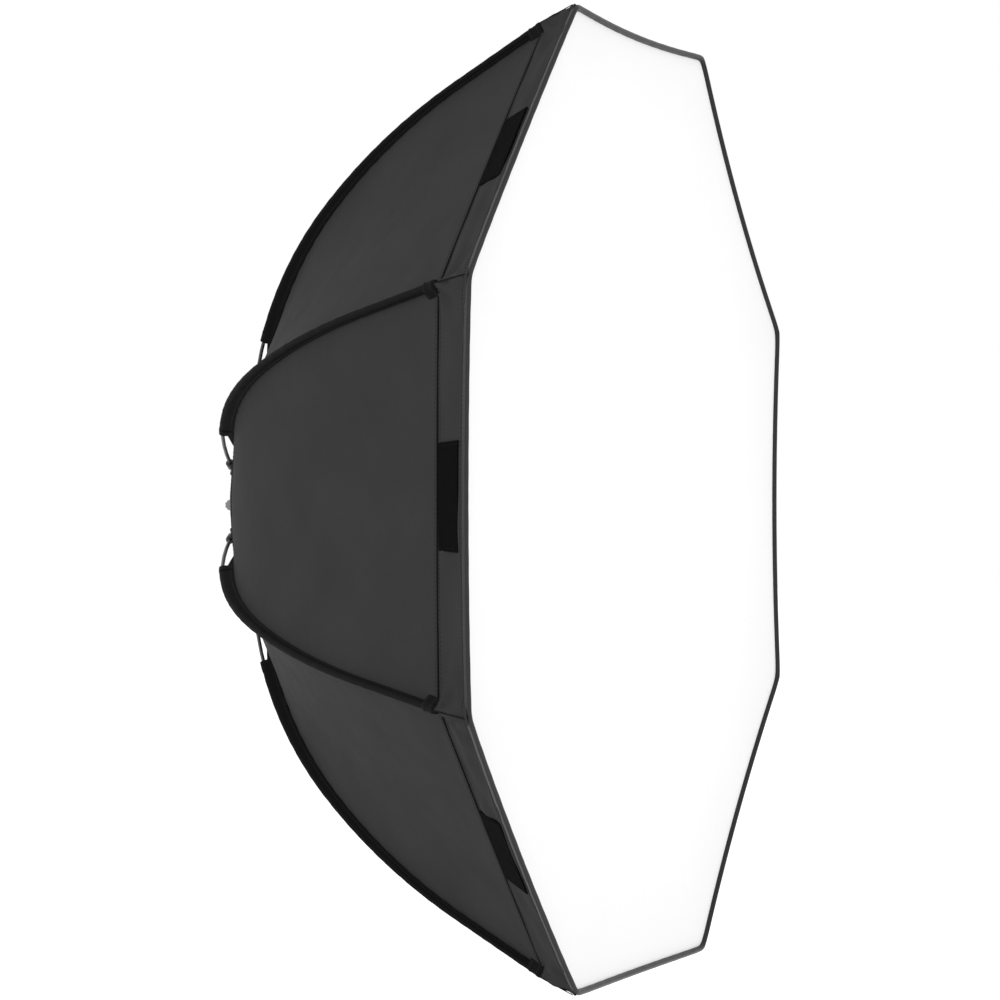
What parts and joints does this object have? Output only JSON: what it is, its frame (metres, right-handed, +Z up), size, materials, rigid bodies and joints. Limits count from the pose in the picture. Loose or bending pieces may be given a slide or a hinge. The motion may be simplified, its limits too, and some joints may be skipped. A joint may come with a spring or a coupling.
{
  "type": "softbox",
  "caption": "Folding octagonal softbox: sprung rods hinged on a turning speed ring, black cloth shell with a recessed lip and a flat white front diffuser.",
  "frame": {"origin": "centre of the bayonet insert's rear face, on the optical axis", "axes": "-Y along the optical axis towards the front diffuser, +Z up, +X to the right seen from the front"},
  "size_m": [0.9858, 0.4544, 0.9858],
  "materials": {
    "insert_alloy": "satin anodised",
    "ring_alloy": "matt black coat",
    "bright_steel": "plated",
    "rod_steel": "black coated spring steel",
    "grey_plastic": "moulded",
    "black_plastic": "moulded",
    "black_webbing": "woven webbing",
    "shell_cloth": "coated plain weave",
    "lip_cloth": "coated plain weave",
    "white_cloth": "translucent diffusion cloth"
  },
  "bodies": {
    "insert": {"bayonet_insert": "insert_alloy", "insert_retainer": "bright_steel"},
    "speed_ring": {"ring_base": "ring_alloy", "ring_clamp": "ring_alloy", "hinge_pins": "bright_steel", "clamp_screws": "bright_steel", "button_springs": "bright_steel"},
    "lock_screw": {"lock_stud": "bright_steel", "lock_knob": "grey_plastic"},
    "button_1": {"release_button_1": "black_plastic"},
    "button_2": {"release_button_2": "black_plastic"},
    "button_3": {"release_button_3": "black_plastic"},
    "button_4": {"release_button_4": "black_plastic"},
    "button_5": {"release_button_5": "black_plastic"},
    "button_6": {"release_button_6": "black_plastic"},
    "button_7": {"release_button_7": "black_plastic"},
    "button_8": {"release_button_8": "black_plastic"},
    "rib_1": {"pivot_block_1": "black_plastic", "rib_rod_1": "rod_steel", "rib_sleeve_1": "black_webbing", "side_panel_1": "shell_cloth", "front_lip_1": "lip_cloth"},
    "rib_2": {"pivot_block_2": "black_plastic", "rib_rod_2": "rod_steel", "rib_sleeve_2": "black_webbing", "side_panel_2": "shell_cloth", "front_lip_2": "lip_cloth"},
    "rib_3": {"pivot_block_3": "black_plastic", "rib_rod_3": "rod_steel", "rib_sleeve_3": "black_webbing", "side_panel_3": "shell_cloth", "front_lip_3": "lip_cloth"},
    "rib_4": {"pivot_block_4": "black_plastic", "rib_rod_4": "rod_steel", "rib_sleeve_4": "black_webbing", "side_panel_4": "shell_cloth", "front_lip_4": "lip_cloth"},
    "rib_5": {"pivot_block_5": "black_plastic", "rib_rod_5": "rod_steel", "rib_sleeve_5": "black_webbing", "side_panel_5": "shell_cloth", "front_lip_5": "lip_cloth"},
    "rib_6": {"pivot_block_6": "black_plastic", "rib_rod_6": "rod_steel", "rib_sleeve_6": "black_webbing", "side_panel_6": "shell_cloth", "front_lip_6": "lip_cloth"},
    "rib_7": {"pivot_block_7": "black_plastic", "rib_rod_7": "rod_steel", "rib_sleeve_7": "black_webbing", "side_panel_7": "shell_cloth", "front_lip_7": "lip_cloth"},
    "rib_8": {"pivot_block_8": "black_plastic", "rib_rod_8": "rod_steel", "rib_sleeve_8": "black_webbing", "side_panel_8": "shell_cloth", "front_lip_8": "lip_cloth"},
    "diffuser": {"front_diffuser": "white_cloth"}
  },
  "joints": [
    {"name": "ring_turn", "type": "hinge", "parent": "insert", "child": "speed_ring", "pos_m": [0, -0.012, 0], "axis": [0, 1, 0], "continuous": true},
    {"name": "lock_screw_turn", "type": "hinge", "parent": "speed_ring", "child": "lock_screw", "pos_m": [-0.07994, -0.015, -0.00307], "axis": [-0.9993, 0, -0.0384], "range_deg": [0, 360]},
    {"name": "button_1_press", "type": "slide", "parent": "speed_ring", "child": "button_1", "axis": [-0.809, 0, -0.5878], "range_m": [0, 0.0015], "stiffness_N_per_m": 600, "springref_m": -0.003, "deforming": ["button_springs"]},
    {"name": "button_2_press", "type": "slide", "parent": "speed_ring", "child": "button_2", "axis": [-0.1564, 0, -0.9877], "range_m": [0, 0.0015], "stiffness_N_per_m": 600, "springref_m": -0.003},
    {"name": "button_3_press", "type": "slide", "parent": "speed_ring", "child": "button_3", "axis": [0.5878, 0, -0.809], "range_m": [0, 0.0015], "stiffness_N_per_m": 600, "springref_m": -0.003},
    {"name": "button_4_press", "type": "slide", "parent": "speed_ring", "child": "button_4", "axis": [0.9877, 0, -0.1564], "range_m": [0, 0.0015], "stiffness_N_per_m": 600, "springref_m": -0.003},
    {"name": "button_5_press", "type": "slide", "parent": "speed_ring", "child": "button_5", "axis": [0.809, 0, 0.5878], "range_m": [0, 0.0015], "stiffness_N_per_m": 600, "springref_m": -0.003},
    {"name": "button_6_press", "type": "slide", "parent": "speed_ring", "child": "button_6", "axis": [0.1564, 0, 0.9877], "range_m": [0, 0.0015], "stiffness_N_per_m": 600, "springref_m": -0.003},
    {"name": "button_7_press", "type": "slide", "parent": "speed_ring", "child": "button_7", "axis": [-0.5878, 0, 0.809], "range_m": [0, 0.0015], "stiffness_N_per_m": 600, "springref_m": -0.003},
    {"name": "button_8_press", "type": "slide", "parent": "speed_ring", "child": "button_8", "axis": [-0.9877, 0, 0.1564], "range_m": [0, 0.0015], "stiffness_N_per_m": 600, "springref_m": -0.003},
    {"name": "rib_1_fold", "type": "hinge", "parent": "speed_ring", "child": "rib_1", "pos_m": [0.05913, -0.009, 0.02449], "axis": [0.3827, 0, -0.9239], "range_deg": [0, 45], "deforming": ["side_panel_1", "front_lip_1"]},
    {"name": "rib_2_fold", "type": "hinge", "parent": "speed_ring", "child": "rib_2", "pos_m": [0.02449, -0.009, 0.05913], "axis": [0.9239, 0, -0.3827], "range_deg": [0, 45], "deforming": ["side_panel_2", "front_lip_2"]},
    {"name": "rib_3_fold", "type": "hinge", "parent": "speed_ring", "child": "rib_3", "pos_m": [-0.02449, -0.009, 0.05913], "axis": [0.9239, 0, 0.3827], "range_deg": [0, 45], "deforming": ["side_panel_3", "front_lip_3"]},
    {"name": "rib_4_fold", "type": "hinge", "parent": "speed_ring", "child": "rib_4", "pos_m": [-0.05913, -0.009, 0.02449], "axis": [0.3827, 0, 0.9239], "range_deg": [0, 45], "deforming": ["side_panel_4", "front_lip_4"]},
    {"name": "rib_5_fold", "type": "hinge", "parent": "speed_ring", "child": "rib_5", "pos_m": [-0.05913, -0.009, -0.02449], "axis": [-0.3827, 0, 0.9239], "range_deg": [0, 45], "deforming": ["side_panel_5", "front_lip_5"]},
    {"name": "rib_6_fold", "type": "hinge", "parent": "speed_ring", "child": "rib_6", "pos_m": [-0.02449, -0.009, -0.05913], "axis": [-0.9239, 0, 0.3827], "range_deg": [0, 45], "deforming": ["side_panel_6", "front_lip_6"]},
    {"name": "rib_7_fold", "type": "hinge", "parent": "speed_ring", "child": "rib_7", "pos_m": [0.02449, -0.009, -0.05913], "axis": [-0.9239, 0, -0.3827], "range_deg": [0, 45], "deforming": ["side_panel_7", "front_lip_7"]},
    {"name": "rib_8_fold", "type": "hinge", "parent": "speed_ring", "child": "rib_8", "pos_m": [0.05913, -0.009, -0.02449], "axis": [-0.3827, 0, -0.9239], "range_deg": [0, 45], "deforming": ["side_panel_8", "front_lip_8"]},
    {"name": "diffuser_carry", "type": "slide", "parent": "speed_ring", "child": "diffuser", "axis": [0, -1, 0], "range_m": [0, 0.2047], "deforming": ["front_diffuser"]}
  ],
  "couplings": [
    {"joint": "rib_2_fold", "follows": "rib_1_fold", "ratio": 1},
    {"joint": "rib_3_fold", "follows": "rib_1_fold", "ratio": 1},
    {"joint": "rib_4_fold", "follows": "rib_1_fold", "ratio": 1},
    {"joint": "rib_5_fold", "follows": "rib_1_fold", "ratio": 1},
    {"joint": "rib_6_fold", "follows": "rib_1_fold", "ratio": 1},
    {"joint": "rib_7_fold", "follows": "rib_1_fold", "ratio": 1},
    {"joint": "rib_8_fold", "follows": "rib_1_fold", "ratio": 1},
    {"joint": "diffuser_carry", "follows": "rib_1_fold", "m_per_rad": 0.2606}
  ]
}
